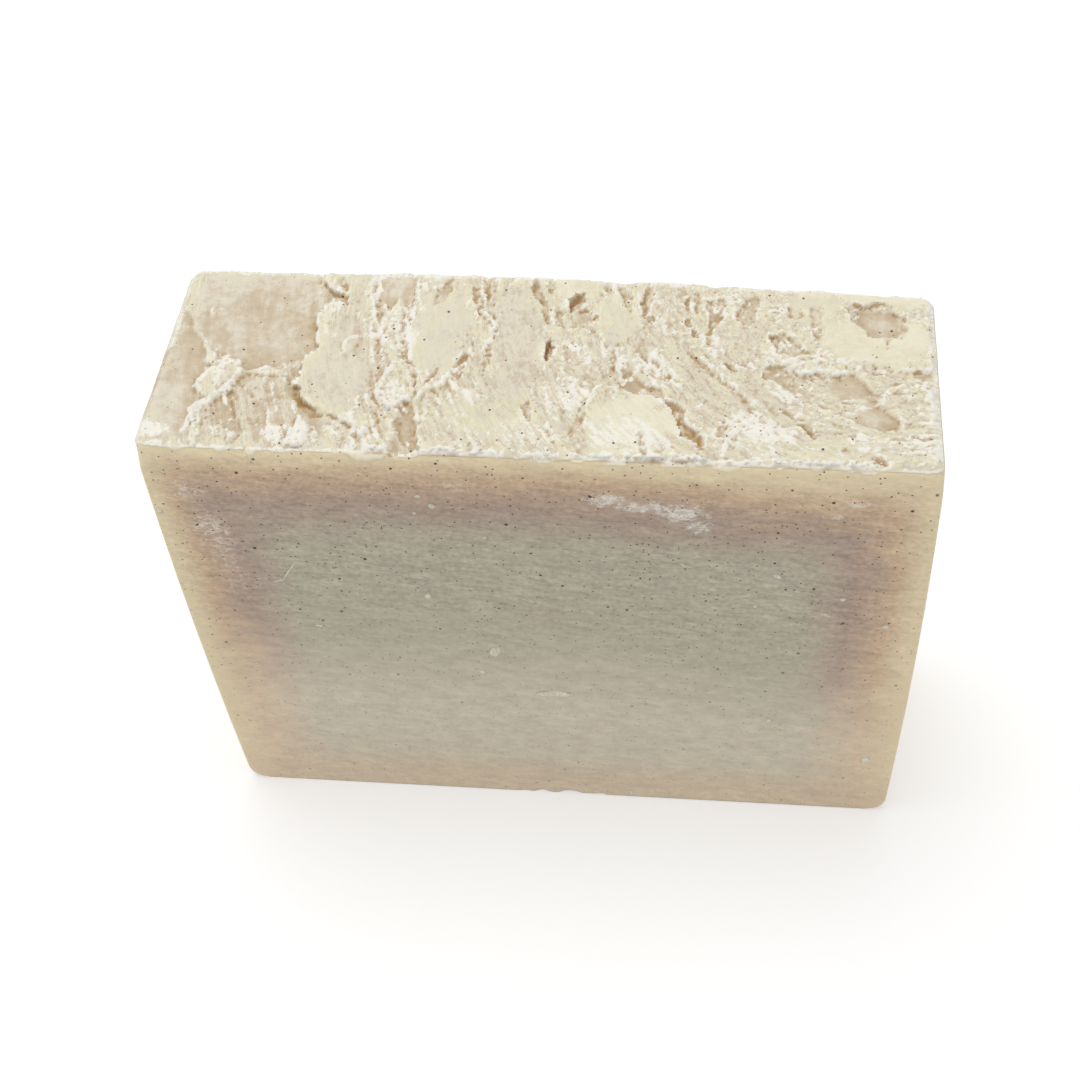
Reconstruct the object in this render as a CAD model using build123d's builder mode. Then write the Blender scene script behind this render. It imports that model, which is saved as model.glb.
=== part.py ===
"""A bar of handmade soap, cut as one slice from a poured loaf.

The bar stands on the narrow face that lay on the bottom of the loaf mould. X runs across the loaf,
Y through the slice and Z up. The two broad faces, front and back, were cut. The two ends and the base
were cast against the mould, so they bow a little and meet in round corners. The top is the crust of the
loaf, which tore when it was worked: plates of crust stand proud, and smoother soap shows in the hollows
between them. The origin is the centre of the base.

The tears belong to the loaf, and a slice holds those that its outline takes in. They are placed from
the middle of the slice, in millimetres.
"""
import os
from math import cos, floor, hypot, radians, sin

from build123d import *

# The slice at its left end, where it is tallest and thickest, and what each size loses by the right end
length = 83.9
height = 63.9
height_loss = 0.6
thickness = 27.7
thickness_loss = 1.6

# How far the crust rises towards the back of the slice, at the middle of the loaf
crust_rise = 0.9

# How far each end draws in from its bulge, at the base and at the crust
base_draw = 0.65
crust_draw = 0.35

# Edges
base_corner_radius = 2.2
crust_corner_radius = 1.1
cut_edge_radius = 0.5

# Torn edges of the crust: the length of one step along the edge, and how far a step wanders off it
tear_step = 1.1
tear_bite = 0.22

# How far down a plate is rooted in the soap, and how far a cut runs on above the crust
root = 4.0

# Hollows torn out of the crust: outline seen from above, depth at the middle, the direction in which the
# floor climbs in degrees from +X, and its slope
hollows = {
    "left_strip": ([(-44, 8), (-41, 7.2), (-39.6, 5.8), (-38.6, 3.2), (-37, 0.9), (-36.6, -0.6), (-35.4, -2.4),
                    (-36.7, -4), (-36.6, -5.4), (-35.4, -6), (-36.5, -8.6), (-36.2, -10.2), (-35.4, -15),
                    (-44, -15)], 0.22, 190, 0.05),
    "left_pan": ([(-39.5, 15), (-25.9, 15), (-25.4, 11.4), (-24.4, 10), (-22.6, 9.2), (-22.5, 8.3),
                  (-25, 8.1), (-25.5, 5), (-25.1, 3.4), (-24.4, 1.5), (-25.1, -0.3), (-25.6, -3.9),
                  (-26.6, -4.2), (-27.9, -2.6), (-29.6, -1.5), (-32, -2.4), (-33.4, -1.2), (-34.8, -1.1),
                  (-36.4, 0.6), (-38.3, 3.3), (-39.8, 7), (-40.5, 11)], 0.5, 165, 0.045),
    "left_crumble": ([(-35, -7), (-33.2, -5.4), (-32, -2.6), (-28, -2.8), (-26.4, -4.6), (-24.4, -7.2),
                      (-22.6, -9), (-18.2, -11), (-17, -13), (-17, -15), (-35, -15)], 0.3, 270, 0.015),
    "back_pocket": ([(-20, 15), (-19.6, 11), (-18.7, 8), (-18.2, 5.4), (-17.4, 7.6), (-17, 9.6), (-16.4, 9),
                     (-16, 6), (-15, 6.4), (-15, 15)], 0.45, 90, 0.04),
    "tongue_groove": ([(-15.9, 7), (-15.1, 6.4), (-15.1, 3.2), (-14.3, 1.6), (-12.9, -2.7), (-12.5, -5.8),
                       (-13.9, -2.8), (-14.8, -0.2), (-15.7, 0.2), (-16.2, 2.6)], 0.9, 180, 0.1),
    "front_furrow": ([(-14.2, -6.6), (-13, -6.6), (-12, -9.5), (-11.7, -12), (-11.2, -15), (-14.4, -15),
                      (-14.9, -12), (-14.6, -9)], 0.7, 100, 0.06),
    "ledge": ([(23.4, 0), (24.2, 0.6), (25.8, 0.6), (27.5, -0.5), (32.6, -0.2), (35.6, -3.2), (35.3, -4.8),
               (37.5, -7), (37.2, -8.3), (34.4, -7.8), (31.6, -6.4), (27.4, -4.4), (25.6, -2.6),
               (23.6, -1.6)], 0.5, 250, 0.03),
    "ledge_end": ([(34.8, 1.1), (38, 0.4), (44, 0.2), (44, -0.9), (37, -0.9), (34.7, -0.1)], 0.4, 270, 0.15),
    "plate_shadow": ([(13.2, -5.2), (15, -5.2), (15.6, -7.6), (17.6, -10), (17.4, -11.8), (15.2, -10),
                      (14.6, -8.2)], 0.9, 20, 0.12),
    "centre_pan_back": ([(10.3, 1.6), (12.4, 0.2), (12.8, -0.7), (13.7, -1.6), (13.6, -2.6), (12, -1.9),
                         (10.6, -1)], 0.55, 130, 0.1),
    "centre_pan_front": ([(8.5, -1), (9.9, -1), (10.3, -2.2), (12.6, -3.4), (13.2, -5), (11.2, -4.9),
                          (9.8, -4.6), (8.6, -3.8)], 0.5, 100, 0.08),
    "centre_scrape": ([(0.6, 7.6), (2.2, 8), (4.4, 7.9), (5.2, 6.4), (5.2, 4.6), (2.2, 5.2), (0.9, 5.2)],
                      0.45, 200, 0.08),
    "crust_crack": ([(-26.4, -4.6), (-25.4, -5), (-24.8, -6.5), (-22, -9.2), (-23.6, -8.8), (-25.3, -7.6),
                     (-26, -6)], 1.1, 210, 0.15),
    "wedge": ([(25.2, -5.9), (27.7, -7.1), (29.4, -9.9), (28.7, -9.6), (27.2, -7.9)], 0.7, 60, 0.15),
}

# Plates of crust that curl up: outline, lift at the middle, the direction in which the plate climbs and
# its slope
plates = {
    "large_plate": ([(-24.8, 7.9), (-25.4, 6.5), (-25.1, 3.6), (-24.4, 1.5), (-25.5, -0.4), (-25.7, -3.8),
                     (-26.6, -4.4), (-25.3, -5), (-24.6, -6.8), (-21.5, -9), (-18.3, -10.9), (-17.2, -12.3),
                     (-16.4, -9), (-18, -5), (-19.4, 0), (-19.1, 4.5), (-21, 7.6)], 0.12, 215, 0.03),
    "back_lobe": ([(-25.8, 12.8), (-25.4, 11.3), (-24.2, 9.9), (-22.8, 9.5), (-21.4, 9.8), (-20.4, 12.4)],
                  0.15, 200, 0.06),
    "tongue": ([(-14.7, 12.8), (-15.1, 7), (-15.2, 3.4), (-14.1, -0.6), (-13.1, -2.8), (-12.5, -6.7),
                (-11.6, -5), (-10, -4.6), (-9.2, -1.4), (-7, 1.2), (-5.4, 3.2), (-6, 4.6), (-7.4, 5.9),
                (-9.2, 10.4), (-11.5, 12.5)], 0.15, 250, 0.02),
    "white_flake": ([(-16.9, -3.4), (-16, -1), (-14.4, -1), (-13.4, -3.6), (-13.2, -6.4), (-15.4, -7.9),
                     (-17.3, -5.4)], 0.3, 240, 0.06),
    "small_flake": ([(-18, -5.8), (-17.3, -6), (-16.6, -7.4), (-17.6, -7.5), (-18.2, -6.6)], 0.35, 200, 0.1),
    "inner_flake": ([(-21.8, 0.2), (-21.6, 2), (-20.7, 3), (-20.3, 2.6), (-20.9, 0.2)], 0.25, 150, 0.1),
    "curled_flake": ([(-36.8, -5.1), (-36.4, -3.9), (-35, -2.2), (-34.5, -0.9), (-33, -1.2), (-32.2, -2.6),
                      (-32.9, -3.8), (-32.8, -5.4), (-34.4, -7.2), (-36.2, -9.8), (-36.8, -8.6),
                      (-35.4, -6.6)], 0.15, 140, 0.05),
    "arrow_plate": ([(5.2, 4.4), (5.1, 6.8), (5.8, 9.6), (6.8, 11.2), (8.3, 9.8), (8.8, 7.9), (10.4, 6),
                     (9.4, 3.2), (6.4, 3)], 0.12, 190, 0.04),
    "front_plate": ([(5.2, -5.4), (6.2, -3.6), (8.4, -3.4), (9.8, -4.6), (13.3, -5.1), (14.7, -8.4),
                     (15.2, -10), (17.6, -12.2), (18, -13.2), (5.5, -13.2), (4.2, -11), (5, -8.4)],
                    0.2, 40, 0.02),
    "back_right_plate": ([(23.2, 1.4), (24.4, 1), (26, 1), (28.4, 1.8), (30.4, 1), (33, 0.5), (35, 1.6),
                          (41, 0.8), (41, 12), (33, 12.6), (27, 13), (25.2, 11.4), (25.4, 8), (23.6, 5),
                          (22.8, 3)], 0.1, 270, 0.01),
    "end_flake": ([(35.4, -4.4), (35.8, -2.8), (37.6, -1.6), (40.6, -2.2), (40.6, -6), (38, -7),
                   (36.8, -6.2)], 0.15, 160, 0.05),
    "right_front_plate": ([(20.6, -11), (22.4, -7), (24.2, -8.8), (26.8, -10.2), (30, -10.2), (36, -9.6),
                           (40.6, -9.4), (40.6, -13.3), (20, -13.3)], 0.08, 280, 0.01),
    "corner_flake": ([(-41.6, -11.6), (-40.2, -10.3), (-38.6, -11.7), (-39.9, -12.9)], -0.05, 180, 0.02),
    "front_crumb": ([(-25, -9.2), (-24.2, -9), (-23.2, -11), (-23.4, -12.9), (-25.8, -13.2)], 0.2, 150, 0.08),
    "loose_crumb": ([(-18, -11.2), (-17.4, -10.4), (-16.8, -11.1), (-17.3, -12)], 0.45, 0, 0.0),
    "edge_crumb": ([(-32, -12), (-31.4, -11.5), (-30.9, -12.4), (-31.5, -13.2)], 0.3, 0, 0.0),
}

# Pockets torn through the plates, given as the hollows are
pockets = {
    "oval": ([(32.2, 9.7), (33, 10.4), (34.2, 10.2), (35.3, 10.9), (36.6, 10.6), (38.4, 8.5), (38, 7.5),
              (38.7, 6.6), (38, 5.4), (36.9, 5.4), (36.5, 3.9), (36.2, 5.2), (34.6, 5.6), (33.4, 6.8)],
             0.55, 350, 0.05),
    "back_triangle": ([(17, 9.8), (19, 10.5), (19.4, 9.4), (18.9, 7.4), (17.9, 5.4), (18.1, 3.2),
                       (17.4, 2.9), (17.3, 5), (17.6, 6.6)], 0.6, 130, 0.08),
    "back_notch": ([(20.2, 7.6), (21.2, 6.2), (22, 6.2), (22.6, 9), (23.2, 10.4), (22.4, 11.4),
                    (21.4, 10.4)], 0.45, 90, 0.08),
    "right_triangle": ([(25.8, 10), (26.6, 9.3), (27.7, 8.3), (26.4, 7.8)], 0.5, 90, 0.1),
    "right_drop": ([(28, 9.6), (29.6, 9.6), (29.7, 5.4), (28.9, 4.2), (28.4, 6)], 0.35, 90, 0.06),
    "rubble": ([(23.8, 5), (25.4, 5.2), (27, 4.4), (28.4, 2.2), (25, 2), (24.2, 3.8)], 0.35, 0, 0.05),
}

# Narrow tears and pits, each along a straight line: start, end, width and depth
slots = {
    "pit_back": ((2.3, 7.9), (3.8, 10.9), 1.5, 2.2),
    "pit_centre": ((0.6, 0.1), (0.7, 3.5), 1.1, 2.6),
    "pit_square": ((11.2, 6.0), (11.2, 7.4), 0.8, 1.8),
    "pit_front": ((31.5, -11.1), (31.9, -11.9), 0.6, 1.3),
    "pit_corner": ((34.4, -12.3), (36.0, -13.0), 0.8, 1.4),
    "slot_lobe": ((-23.9, 12.4), (-22.9, 10.2), 0.8, 0.6),
    "slot_plate": ((-19.9, 12.6), (-18.4, 5.0), 0.6, 0.9),
    "slot_tongue_back": ((-11.2, 12.8), (-12.6, 8.0), 1.3, 0.4),
    "slot_tongue": ((-8.6, 10.8), (-6.9, 6.0), 1.0, 0.8),
    "slot_tongue_side": ((-7.5, 13.6), (-6.7, 8.5), 0.7, 0.4),
    "slot_tip": ((-5.4, 4.8), (-6.1, -1.8), 0.6, 0.7),
    "slot_tip_fork": ((-10.9, -1.6), (-12.2, -4.4), 0.4, 0.6),
    "slot_inner": ((-8.2, 0.8), (-9.2, -3.4), 1.1, 0.5),
    "slot_streak": ((-2.6, 13.8), (-0.6, 8.2), 0.9, 0.7),
    "slot_streak_end": ((-0.6, 9.4), (0.0, 5.8), 0.5, 0.7),
    "slot_back_left": ((0.2, 13.2), (0.0, 10.4), 0.8, 0.4),
    "slot_arrow": ((5.4, 7.0), (5.2, 4.4), 0.4, 0.7),
    "slot_arrow_back": ((5.6, 13.4), (6.6, 10.6), 0.6, 0.6),
    "slot_back_a": ((7.4, 12.6), (9.0, 7.9), 1.2, 0.9),
    "slot_back_b": ((10.8, 12.6), (10.4, 6.8), 0.8, 0.7),
    "slot_back_c": ((15.0, 10.2), (15.2, 7.6), 0.5, 0.7),
    "slot_back_d": ((16.0, 11.2), (16.4, 7.6), 0.6, 0.7),
    "slot_dark_a": ((15.0, 7.1), (15.5, 5.9), 0.5, 1.3),
    "slot_dark_b": ((15.5, 5.6), (16.3, 4.1), 0.5, 1.0),
    "slot_edge_right": ((25.2, 12.8), (26.2, 11.4), 0.7, 0.5),
    "slot_ledge": ((19.5, 0.7), (20.6, -0.8), 0.5, 0.9),
    "slot_ledge_right": ((21.2, 0.4), (21.9, 1.2), 0.7, 0.7),
    "scar": ((15.6, 1.6), (19.5, -2.6), 0.5, 0.5),
    "scar_end": ((18.9, -1.7), (24.0, -8.4), 0.5, 0.4),
    "slot_middle": ((7.6, 2.2), (7.7, -1.6), 0.4, 0.4),
    "slot_front_a": ((-0.9, -5.8), (-0.6, -8.8), 0.9, 0.6),
    "slot_front_b": ((1.4, -9.8), (2.5, -11.8), 0.6, 0.6),
    "slot_front_c": ((5.4, -5.0), (4.0, -10.9), 0.7, 0.6),
    "slot_front_d": ((10.8, -9.6), (11.8, -13.0), 0.5, 0.4),
    "slot_front_e": ((19.6, -7.6), (19.2, -10.0), 0.7, 0.5),
    "crack_front": ((-21.8, -8.8), (-18.0, -11.0), 0.4, 0.9),
    "crack_left": ((-32.8, -6.2), (-29.4, -14.2), 0.5, 0.6),
}

ENDS = (-length / 2, length / 2)
front_y = -thickness / 2


def crust_height(x, y):
    """Height of the whole crust above the base, at a place seen from above."""
    arch = 1 - (2 * x / length) ** 2
    return height - height_loss * (x + length / 2) / length + crust_rise * arch * (y - front_y) / thickness


def crust_slope(x, y):
    """How steeply the whole crust climbs along X and along Y at a place."""
    back_share = (y - front_y) / thickness
    along_x = -height_loss / length - crust_rise * 8 * x / length**2 * back_share
    return along_x, crust_rise * (1 - (2 * x / length) ** 2) / thickness


def slice_thickness(x):
    """Thickness of the slice at a place across the loaf."""
    return thickness - thickness_loss * (x + length / 2) / length


def slice_outline(inset):
    """The slice seen from above, drawn in by a distance all round."""
    left, right = ENDS[0] + inset, ENDS[1] - inset
    near = front_y + inset
    return [
        (left, near),
        (right, near),
        (right, front_y + slice_thickness(right) - inset),
        (left, front_y + slice_thickness(left) - inset),
    ]


def middle(outline):
    """The middle of an outline's corners."""
    return sum(x for x, _ in outline) / len(outline), sum(y for _, y in outline) / len(outline)


def leaning_plane(centre, rise, heading, slope):
    """A plane at a rise above the crust at a point of it, which climbs by the slope along the heading."""
    along_x, along_y = crust_slope(*centre)
    along_x += slope * cos(radians(heading))
    along_y += slope * sin(radians(heading))
    origin = (*centre, crust_height(*centre) + rise)
    return Plane(origin=origin, x_dir=(1, 0, along_x), z_dir=(-along_x, -along_y, 1))


def wander(corner, step):
    """A steady value from -1 to 1 for a step of a torn edge, unlike that of any step near it."""
    mixed = sin(12.99 * corner + 78.23 * step) * 437.58
    return 2 * (mixed - floor(mixed)) - 1


def torn(outline):
    """The outline with its sides broken into short steps, as soap tears, around its own middle."""
    middle_x, middle_y = middle(outline)
    ragged = []
    for corner, ((x0, y0), (x1, y1)) in enumerate(zip(outline, outline[1:] + outline[:1])):
        side = hypot(x1 - x0, y1 - y0)
        steps = max(1, round(side / tear_step))
        for step in range(steps):
            x, y = x0 + (x1 - x0) * step / steps, y0 + (y1 - y0) * step / steps
            aside = tear_bite * wander(corner, step) if step else 0
            ragged.append((x - middle_x + aside * (y1 - y0) / side, y - middle_y - aside * (x1 - x0) / side))
    return ragged


def lens(start, end, width):
    """A narrow tear with pointed ends, a little wider on one side of its line."""
    (x0, y0), (x1, y1) = start, end
    run = hypot(x1 - x0, y1 - y0)
    aside_x, aside_y = (y1 - y0) / run * width / 2, -(x1 - x0) / run * width / 2
    return [
        (x0 + (x1 - x0) * along + aside_x * out, y0 + (y1 - y0) * along + aside_y * out)
        for along, out in ((0, 0), (0.2, 0.8), (0.55, 1), (0.85, 0.6), (1, 0), (0.75, -0.9), (0.4, -1), (0.1, -0.6))
    ]


# The plates of crust, as far down as they are rooted, kept clear of the rounded edges of the slice
with BuildPart() as crust_plates:
    for outline, lift, heading, slope in plates.values():
        with BuildSketch(leaning_plane(middle(outline), lift, heading, slope)):
            Polygon(*torn(outline), align=None)
    extrude(amount=-root)
    with BuildSketch(Plane.XY):
        Polygon(*slice_outline(max(cut_edge_radius, crust_draw)), align=None)
    extrude(amount=height + crust_rise + root, mode=Mode.INTERSECT)

with BuildPart() as bar:
    # The loaf's section at either cut: ends that bulge against the mould wall, and round corners
    for section_y, rise in ((front_y, 0), (front_y + thickness, crust_rise)):
        with BuildSketch(Plane.XZ.offset(-section_y)) as section:
            with BuildLine():
                base = Line((ENDS[0] + base_draw, 0), (ENDS[1] - base_draw, 0))
                right_end = ThreePointArc(
                    base @ 1, (ENDS[1], (height - height_loss) / 2), (ENDS[1] - crust_draw, height - height_loss)
                )
                left_corner = (ENDS[0] + crust_draw, height)
                if rise:
                    ThreePointArc(right_end @ 1, (0, height - height_loss / 2 + rise), left_corner)
                else:
                    Line(right_end @ 1, left_corner)
                ThreePointArc(left_corner, (ENDS[0], height / 2), base @ 0)
            make_face()
            fillet(section.vertices().sort_by(Axis.Y)[:2], base_corner_radius)
            fillet(section.vertices().sort_by(Axis.Y)[-2:], crust_corner_radius)
    loft(ruled=True)

    # The slice: the front face is cut square to the loaf, the back face a little askew
    with BuildSketch(Plane.XY):
        Polygon(*slice_outline(0), align=None)
    extrude(amount=height + crust_rise, mode=Mode.INTERSECT)
    cut_faces = bar.faces().sort_by(Axis.Y)
    fillet(cut_faces[0].edges() + cut_faces[-1].edges(), cut_edge_radius)

    # The torn crust: hollows, then the plates that stand over them, then what is torn through both
    for outline, depth, heading, slope in hollows.values():
        with BuildSketch(leaning_plane(middle(outline), -depth, heading, slope)):
            Polygon(*torn(outline), align=None)
    extrude(amount=root, mode=Mode.SUBTRACT)
    add(crust_plates.part)
    for outline, depth, heading, slope in pockets.values():
        with BuildSketch(leaning_plane(middle(outline), -depth, heading, slope)):
            Polygon(*torn(outline), align=None)
    for start, end, width, depth in slots.values():
        outline = lens(start, end, width)
        centre = middle(outline)
        with BuildSketch(leaning_plane(centre, -depth, 0, 0)):
            Polygon(*[(x - centre[0], y - centre[1]) for x, y in outline], align=None)
    extrude(amount=root, mode=Mode.SUBTRACT)

os.makedirs("parts", exist_ok=True)
bar.part.label = "soap_bar"
export_step(bar.part, "parts/soap_bar.step")
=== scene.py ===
"""A bar of cold-process soap, cut from a loaf, that stands on its narrow base.

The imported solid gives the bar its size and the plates, hollows and pits of its torn crust. This script
lays a fine skin over that solid, tears its edges, adds the flakes, streaks and crumbs that soap shows
close up, and gives it the colours that soap takes as it gels and dries.
"""

import math
import random
from functools import partial

import bpy
import numpy as np
from bpy.props import FloatProperty, FloatVectorProperty, PointerProperty
from mathutils import Matrix, Vector, noise
from mathutils.bvhtree import BVHTree


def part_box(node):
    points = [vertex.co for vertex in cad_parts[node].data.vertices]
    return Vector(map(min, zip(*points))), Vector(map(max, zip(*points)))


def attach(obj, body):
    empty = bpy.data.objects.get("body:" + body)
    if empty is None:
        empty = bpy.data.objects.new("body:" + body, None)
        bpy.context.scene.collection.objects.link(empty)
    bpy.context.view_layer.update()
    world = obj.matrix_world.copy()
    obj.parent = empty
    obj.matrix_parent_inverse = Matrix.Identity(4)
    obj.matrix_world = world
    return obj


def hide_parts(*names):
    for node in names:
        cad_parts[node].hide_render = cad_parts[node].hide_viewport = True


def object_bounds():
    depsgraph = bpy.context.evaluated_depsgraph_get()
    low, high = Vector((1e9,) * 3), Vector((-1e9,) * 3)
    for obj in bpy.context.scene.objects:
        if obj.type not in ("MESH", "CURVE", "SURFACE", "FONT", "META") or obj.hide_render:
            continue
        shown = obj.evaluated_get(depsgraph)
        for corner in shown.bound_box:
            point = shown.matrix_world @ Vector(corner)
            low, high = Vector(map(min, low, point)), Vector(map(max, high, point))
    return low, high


bl_info = {
    "name": "Bar of cold-process soap",
    "version": (1, 0, 0),
    "blender": (4, 5, 0),
    "location": "3D View > Sidebar > Soap",
    "description": "Builds a slice of handmade soap with a torn crust",
    "category": "Add Mesh",
}

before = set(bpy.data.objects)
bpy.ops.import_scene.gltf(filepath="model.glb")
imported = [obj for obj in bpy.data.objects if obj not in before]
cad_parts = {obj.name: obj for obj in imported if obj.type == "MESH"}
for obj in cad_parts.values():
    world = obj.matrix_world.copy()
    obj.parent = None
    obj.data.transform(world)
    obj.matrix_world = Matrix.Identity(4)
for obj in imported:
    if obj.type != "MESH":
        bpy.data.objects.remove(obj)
cad_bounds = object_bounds()

MM = 0.001
NODE = "soap_bar"


def linear(hex_colour):
    """The linear colour of an sRGB hex value, opaque."""
    channels = [int(hex_colour[place:place + 2], 16) / 255 for place in (1, 3, 5)]
    return [c / 12.92 if c <= 0.04045 else ((c + 0.055) / 1.055) ** 2.4 for c in channels] + [1]


def a_colour(name, hex_colour, description):
    return FloatVectorProperty(
        name=name, description=description, subtype="COLOR", size=4, min=0, max=1, default=linear(hex_colour)
    )


def a_length(name, size_mm, description):
    return FloatProperty(
        name=name, description=description, subtype="DISTANCE", unit="LENGTH", precision=5, min=0,
        default=size_mm * MM,
    )


class SoapSizes(bpy.types.PropertyGroup):
    """Sizes of the skin's relief."""

    cell: a_length("Cell", 0.2, "Width of one cell of the skin on the crust")
    tear: a_length("Tear", 0.3, "How far a torn edge wanders to either side")
    pit: a_length("Pit", 0.9, "Depth that the deepest pits come near to")
    flake: a_length("Flake", 0.2, "Height of one layer of flakes")
    streak: a_length("Streak", 0.06, "Height of the streaks of the crust")
    crumb: a_length("Crumb", 0.13, "Height of the lumps where the crust broke up")
    grain: a_length("Grain", 0.03, "Height of the finest grain")
    overhang: a_length("Overhang", 0.22, "How far a flake's edge reaches over what lies below")
    rim: a_length("Rim", 0.22, "Height of the ragged rim along the front")
    edge: a_length("Edge", 0.5, "Radius of the worn edges of the broad faces")
    scuff: a_length("Scuff", 0.2, "How far the scuffed soap stands proud")


class SoapColours(bpy.types.PropertyGroup):
    """Colours of the soap."""

    skin: a_colour("Skin", "#F5E3BD", "Outer soap, which stayed cool in the mould")
    under_skin: a_colour("Under skin", "#DDBF9F", "Soap a few millimetres below the skin")
    ring: a_colour("Ring", "#BDA797", "Ring around the part that gelled")
    core: a_colour("Core", "#C6BFAA", "Middle of the loaf, which gelled")
    low_core: a_colour("Low core", "#E1D8C1", "Paler soap in the lower part of the loaf")
    base: a_colour("Base", "#EDD6B8", "Soap near the bottom of the mould")
    # The edges of the plates are painted this pale partly as painted highlight
    pale: a_colour("Pale", "#F7F0D8", "Palest crust, on the edges of the smooth plates")
    cream: a_colour("Cream", "#EEE7CA", "Smooth crust that stands proud")
    crust: a_colour("Crust", "#EAE2CF", "Rough crust")
    tan: a_colour("Tan", "#DACAB0", "Smoother soap in the hollows of the crust")
    damp: a_colour("Damp", "#C9B596", "Soap that has dried least, low in the hollows")
    # Also painted on thin edges, where the white is partly painted highlight
    ash_and_highlight: a_colour("Ash", "#FFFBEF", "White ash and thin torn edges")
    # Partly the soap's own warmer colour in its cracks and pits, partly painted shade where they are sunken
    crevice_brown_and_shade: a_colour("Crevice", "#BC9355", "Deep cracks in the crust")
    speck: a_colour("Speck", "#43372B", "Specks of botanicals")
    floor: a_colour("Floor", "#E0E0E0", "Studio floor")


def deselect_all():
    bpy.ops.object.select_all(action="DESELECT")


def step_block(name, across, along, rows):
    """A closed block with a grid on top, whose corners lie at whole steps, so each tells its place."""
    deselect_all()
    bpy.ops.mesh.primitive_grid_add(x_subdivisions=across, y_subdivisions=along, size=1)
    piece = bpy.context.object
    piece.name = name
    piece.data.name = name
    piece.scale = (across, along, 1)
    piece.location = (across / 2, along / 2, 0)
    bpy.ops.object.transform_apply(location=True, scale=True)
    bpy.ops.object.mode_set(mode="EDIT")
    bpy.ops.mesh.select_mode(type="EDGE")
    bpy.ops.mesh.select_all(action="DESELECT")
    bpy.ops.mesh.select_non_manifold()
    for _ in range(rows):
        bpy.ops.mesh.extrude_edges_move(TRANSFORM_OT_translate={"value": (0, 0, -1)})
    bpy.ops.mesh.edge_face_add()
    bpy.ops.mesh.select_all(action="SELECT")
    bpy.ops.mesh.normals_make_consistent(inside=False)
    bpy.ops.object.mode_set(mode="OBJECT")
    return piece


def smooth(low, high, value):
    """Runs from 0 at low to 1 at high with soft ends."""
    share = np.clip((value - low) / (high - low), 0, 1)
    return share * share * (3 - 2 * share)


def field(u, v, sizes, seed, octaves=1):
    """A smooth random field from about -1 to 1, with swells of one size, or one along u and one along v."""
    size_u, size_v = np.broadcast_to(sizes, 2)
    places = zip((u / size_u).flat, (v / size_v).flat)
    return np.array([noise.fractal(Vector((a, b, seed)), 1, 2, octaves) for a, b in places]).reshape(u.shape)


def edge_distance(x):
    """How far each place of a grid lies from the nearer end of the bar."""
    return np.minimum(x - x.min(), x.max() - x)


def distance_to_line(x, y, points):
    """How far each place of a grid lies from a line through the points."""
    nearest = np.full(x.shape, np.inf)
    for (start_x, start_y), (end_x, end_y) in zip(points, points[1:]):
        run_x, run_y = end_x - start_x, end_y - start_y
        share = np.clip(((x - start_x) * run_x + (y - start_y) * run_y) / (run_x ** 2 + run_y ** 2), 0, 1)
        nearest = np.minimum(nearest, np.hypot(x - start_x - share * run_x, y - start_y - share * run_y))
    return nearest


def blurred(values, reach):
    """The values averaged over a square that reaches so many cells each way, three times over."""
    width = 2 * reach + 1
    for _ in range(3):
        for axis in (0, 1):
            margin = [(reach + 1, reach) if axis == side else (0, 0) for side in (0, 1)]
            total = np.cumsum(np.pad(values, margin, mode="edge"), axis)
            values = (np.take(total, range(width, total.shape[axis]), axis)
                      - np.take(total, range(total.shape[axis] - width), axis)) / width
    return values


# Places on the crust, in millimetres seen from above: middle, reach along X and Y, how smooth it is there,
# and the tone, from -1 for cream to 1 for tan
crust_places = {
    "back of the left pan": ((-33.0, 10.5), (7.5, 5.0), 0.85, 0.2),
    "left pan": ((-32.0, 4.5), (8.0, 7.0), 0.85, 0.7),
    "left strip": ((-39.0, -3.5), (2.8, 9.5), 0.9, 0.85),
    "front left": ((-38.5, -9.0), (3.0, 5.0), 0.8, 0.3),
    "left crumble": ((-28.0, -8.0), (7.0, 5.0), 0.1, 0.6),
    "back lobe": ((-23.5, 11.5), (3.0, 2.2), 0.4, -0.15),
    "large plate": ((-22.0, -1.5), (3.8, 8.0), 0.55, 0.1),
    "back pocket": ((-17.3, 11.5), (2.0, 3.6), 0.8, 0.35),
    "tongue": ((-11.5, 4.5), (3.2, 8.5), 0.7, -0.1),
    "striated": ((-2.5, 4.0), (3.2, 9.5), 0.5, 0.3),
    "front of the striated place": ((-5.0, -9.0), (5.0, 3.0), 0.4, -0.3),
    "back middle": ((2.5, 12.0), (3.0, 2.4), 0.7, -0.7),
    "arrow plate": ((7.6, 6.8), (2.0, 3.6), 0.6, -0.4),
    "middle": ((5.0, 0.5), (4.5, 4.0), 0.0, 0.2),
    "front plate": ((9.8, -8.6), (4.6, 4.2), 0.7, -1.0),
    "right of the scar": ((24.0, -4.5), (4.0, 4.5), 0.1, 0.35),
    "front right": ((28.0, -11.5), (9.0, 2.0), 0.3, -0.2),
    "right back": ((35.5, 4.5), (6.5, 4.0), 0.8, -0.9),
    "right end": ((36.0, 12.0), (6.0, 2.2), 0.9, -0.9),
    "back right": ((29.0, 10.0), (2.6, 3.6), 0.7, -0.4),
    "oval": ((35.4, 7.8), (3.0, 2.8), 1.0, 0.55),
    "ledge hollow": ((32.6, -2.2), (2.4, 1.7), 0.9, 0.6),
    "ledge hollow front": ((34.8, -6.2), (2.6, 1.8), 0.9, 0.45),
    "centre pan": ((9.6, -2.6), (1.6, 1.6), 0.9, 0.7),
    "furrow": ((-13.2, -11.0), (1.4, 4.0), 0.1, 0.6),
}

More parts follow.
